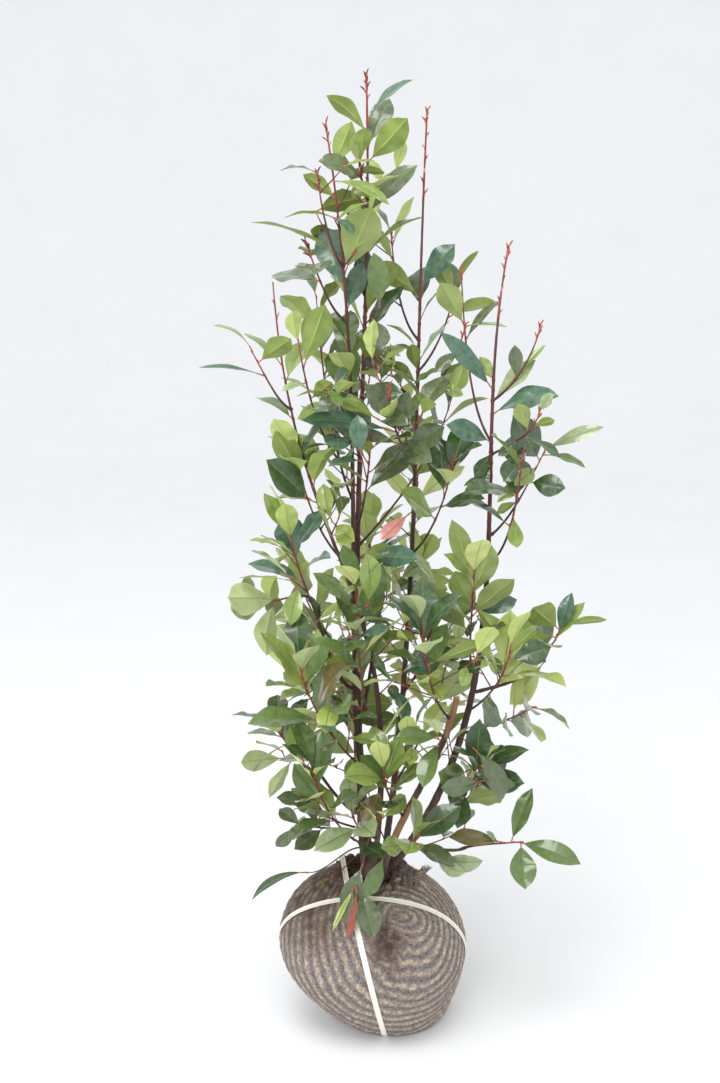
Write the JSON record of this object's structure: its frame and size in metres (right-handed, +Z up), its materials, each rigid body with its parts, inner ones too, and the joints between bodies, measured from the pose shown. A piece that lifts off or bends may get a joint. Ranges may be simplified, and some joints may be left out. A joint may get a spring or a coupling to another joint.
{
  "type": "photinia red robin",
  "caption": "Many-stemmed evergreen shrub with leafy upright shoots, standing on its cloth-wrapped and strapped round root ball.",
  "frame": {"origin": "centre of the root ball's flat underside", "axes": "+Z up along the stems, +X to the right and -Y to the front of the plant"},
  "size_m": [0.6289, 0.4698, 1.5307],
  "materials": {
    "wrap": "coarse knitted cloth, matt, brown with grey rows",
    "strap": "ivory woven tape, slight sheen",
    "soil": "dark moist crumb, matt",
    "bark": "dark maroon-brown smooth bark",
    "cut_bark": "tan-brown older bark",
    "foliage": "leathery leaves, glossy above and matt yellow-green below"
  },
  "bodies": {
    "root": {"root_ball": "wrap", "strap_across": "strap", "strap_over": "strap", "soil": "soil", "wrap_collar": "wrap", "stem_leader": "bark", "stem_left": "bark", "stem_right": "bark", "stem_far_right": "bark", "stem_far_left": "bark", "stem_pruned": "cut_bark", "trunk": "bark", "bough_right": "bark", "bough_low_right": "bark", "bough_left": "bark", "bough_low_left": "bark", "bough_back": "bark", "leader_crown": "foliage", "left_crown": "foliage", "right_crown": "foliage", "far_right_crown": "foliage", "far_left_crown": "foliage", "left_inner": "foliage", "left_back": "foliage", "front_red": "foliage", "back_centre": "foliage", "right_upper": "foliage", "right_outer": "foliage", "right_middle": "foliage", "right_front": "foliage", "right_low": "foliage", "right_under": "foliage", "low_right_end": "foliage", "low_right_back": "foliage", "pruned_shoot": "foliage", "twin_shoot": "foliage", "left_middle": "foliage", "left_middle_back": "foliage", "left_front": "foliage", "low_left_end": "foliage", "low_left_front": "foliage", "low_left_inner": "foliage", "foot_left": "foliage", "foot_front": "foliage", "low_centre": "foliage", "front_centre": "foliage", "low_front": "foliage", "middle_front": "foliage", "middle_right": "foliage", "upper_front": "foliage", "upper_right": "foliage", "upper_left": "foliage", "back_low": "foliage", "back_foot": "foliage", "back_right": "foliage", "back_left": "foliage", "back_upper": "foliage", "back_top": "foliage"}
  },
  "joints": []
}
